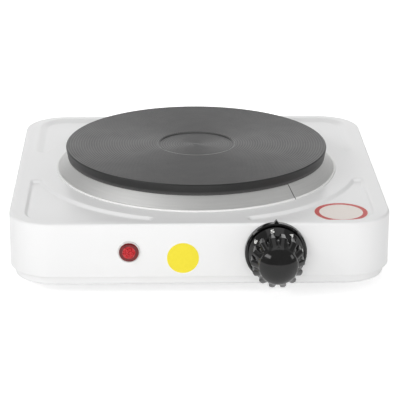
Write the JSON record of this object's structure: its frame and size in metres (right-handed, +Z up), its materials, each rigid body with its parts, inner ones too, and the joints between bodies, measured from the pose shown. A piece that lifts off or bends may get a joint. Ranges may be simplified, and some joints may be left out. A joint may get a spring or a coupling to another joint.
{
  "type": "electric hot plate",
  "caption": "Low rounded-square electric hot plate: cast disc on a flared steel ring, pilot lamp, and a lobed dial knob that turns a thermostat cam and lifts its contact lever.",
  "frame": {"origin": "on the floor under the middle of the whole outline, knob and cord gland included", "axes": "+Z up from the feet to the plate, +X to the user's right, -Y towards the user (knob and lamp side)"},
  "size_m": [0.2126, 0.2356, 0.0564],
  "materials": {
    "white_enamel": "glossy baked enamel on pressed steel",
    "cast_iron": "turned cast iron with a dark heat-resistant coat",
    "polished_steel": "polished rolled steel",
    "black_plastic": "glossy black phenolic moulding",
    "red_lens": "clear red moulded lens",
    "black_rubber": "matt moulded rubber",
    "zinc_steel": "zinc-plated steel",
    "heater_alloy": "oxidised resistance wire in a tube",
    "packed_insulation": "pressed mineral powder",
    "white_ceramic": "unglazed fired ceramic",
    "brass": "rolled brass",
    "clear_glass": "clear glass envelope",
    "holder_plastic": "natural heat-resistant plastic",
    "brown_sleeve": "glass-fibre sleeve",
    "blue_sleeve": "glass-fibre sleeve",
    "green_sleeve": "glass-fibre sleeve"
  },
  "bodies": {
    "cooker": {"base_pan": "white_enamel", "base_screws": "zinc_steel", "bimetal_strip": "zinc_steel", "centre_stud": "zinc_steel", "clamp_bar": "zinc_steel", "coil_block": "white_ceramic", "coil_links": "brass", "cord_block": "holder_plastic", "cord_block_screws": "zinc_steel", "cord_gland": "black_rubber", "earth_lead": "green_sleeve", "earth_lug": "brass", "earth_screw": "zinc_steel", "fixed_contact": "brass", "foot_front_left": "black_rubber", "foot_front_right": "black_rubber", "foot_rear_left": "black_rubber", "foot_rear_right": "black_rubber", "hot_plate": "cast_iron", "inner_coil": "heater_alloy", "inner_insulation": "packed_insulation", "knob_bezel": "black_plastic", "lamp_holder": "holder_plastic", "lamp_lens": "red_lens", "lamp_neutral_lead": "blue_sleeve", "lamp_retainer": "zinc_steel", "lamp_switched_lead": "brown_sleeve", "lever_pin": "zinc_steel", "live_lead": "brown_sleeve", "neon_lamp": "clear_glass", "neutral_lead": "blue_sleeve", "outer_coil": "heater_alloy", "outer_insulation": "packed_insulation", "pillar_front_left": "zinc_steel", "pillar_front_right": "zinc_steel", "pillar_rear_left": "zinc_steel", "pillar_rear_right": "zinc_steel", "plate_cover": "zinc_steel", "stud_nut": "zinc_steel", "stud_washer": "zinc_steel", "switched_lead": "brown_sleeve", "terminal_sleeves": "brass", "thermostat_ceramic": "white_ceramic", "thermostat_frame": "zinc_steel", "thermostat_screws": "zinc_steel", "thermostat_tabs": "brass", "top_housing": "white_enamel", "trim_ring": "polished_steel"},
    "dial": {"knob": "black_plastic", "thermostat_spindle": "zinc_steel", "snail_cam": "zinc_steel"},
    "lever": {"contact_lever": "brass"}
  },
  "joints": [
    {"name": "knob_turn", "type": "hinge", "parent": "cooker", "child": "dial", "pos_m": [0.0411, -0.08925, 0.0264], "axis": [0, 1, 0], "range_deg": [-215, 55]},
    {"name": "lever_lift", "type": "hinge", "parent": "cooker", "child": "lever", "pos_m": [0.0271, -0.08525, 0.03341], "axis": [0, 1, 0], "range_deg": [-5, 1.3]}
  ],
  "couplings": [
    {"joint": "lever_lift", "follows": "knob_turn", "ratio": 0.022737}
  ]
}
